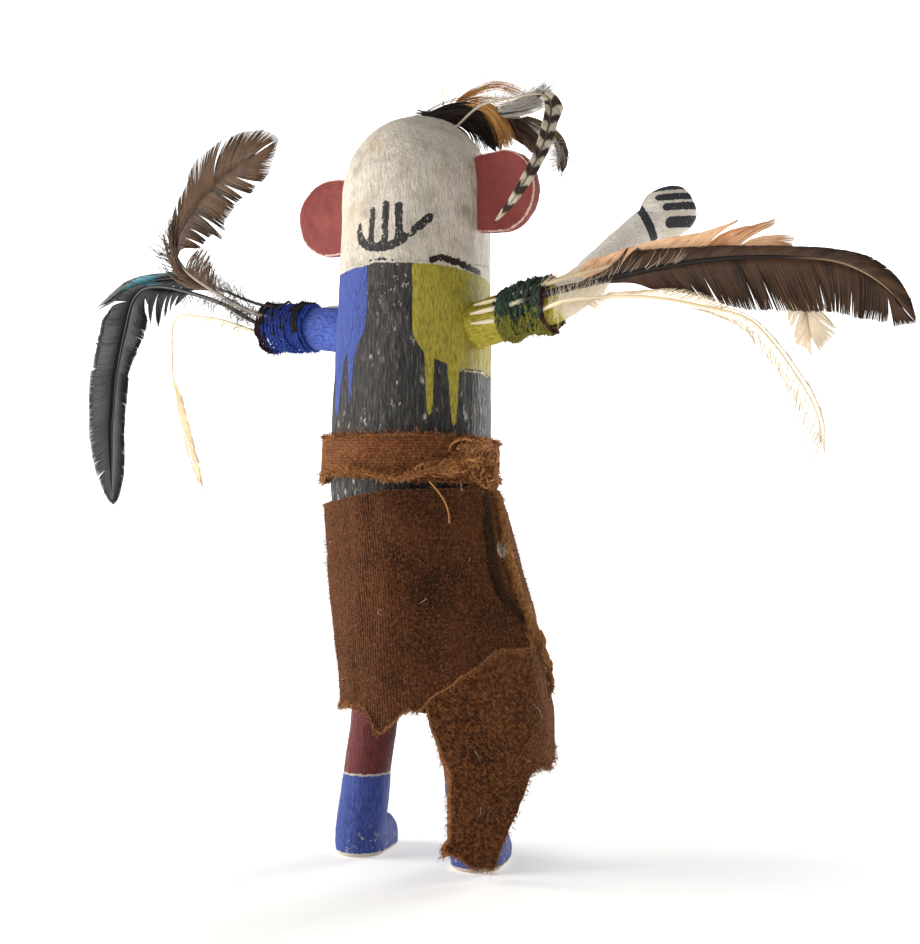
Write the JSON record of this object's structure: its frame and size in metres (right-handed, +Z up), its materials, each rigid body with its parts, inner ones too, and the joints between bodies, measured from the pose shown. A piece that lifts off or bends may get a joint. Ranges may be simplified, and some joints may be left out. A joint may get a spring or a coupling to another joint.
{
  "type": "kachina doll",
  "caption": "Standing carved and painted wooden doll with a round-topped head, side ears, pegged arms, feathers bound on with yarn, and a wrapped wool kilt and belt.",
  "frame": {"origin": "on the ground, in the middle of the outline seen from above, under the soles", "axes": "+Z up, the doll faces -Y, its left hand points to +X and its right hand to -X"},
  "size_m": [0.3244, 0.0848, 0.2769],
  "materials": {
    "painted_wood": "matt mineral paint over carved root wood, with fields of white, black, blue, yellow and maroon",
    "red_paint": "matt dark red paint, worn at the edges",
    "blue_paint": "matt ultramarine paint over wood",
    "yellow_paint": "matt yellow and white paint over wood",
    "brown_wool": "napped handspun wool, frayed at its cut edges",
    "yarn": "dark wool yarn smeared with paint",
    "feather_brown": "dark brown flight feather",
    "feather_black": "glossy black feather",
    "feather_cream": "cream feather with thin barbs",
    "feather_tan": "tan feather",
    "feather_teal": "iridescent blue-green feather",
    "feather_barred": "feather barred in black and cream"
  },
  "bodies": {
    "root": {"body": "painted_wood", "ear_left": "red_paint", "ear_right": "red_paint", "arm_left": "blue_paint", "arm_right": "yellow_paint", "feather_right_long": "feather_brown", "feather_right_tan": "feather_tan", "feather_right_cream": "feather_cream", "feather_left_brown": "feather_brown", "feather_left_black": "feather_black", "feather_left_teal": "feather_teal", "feather_left_cream": "feather_cream", "feather_head_barred": "feather_barred", "feather_head_black": "feather_black", "feather_head_tan": "feather_tan", "feather_head_dark": "feather_brown", "yarn_wrap_left": "yarn", "yarn_wrap_right": "yarn", "kilt": "brown_wool", "belt": "brown_wool"}
  },
  "joints": []
}
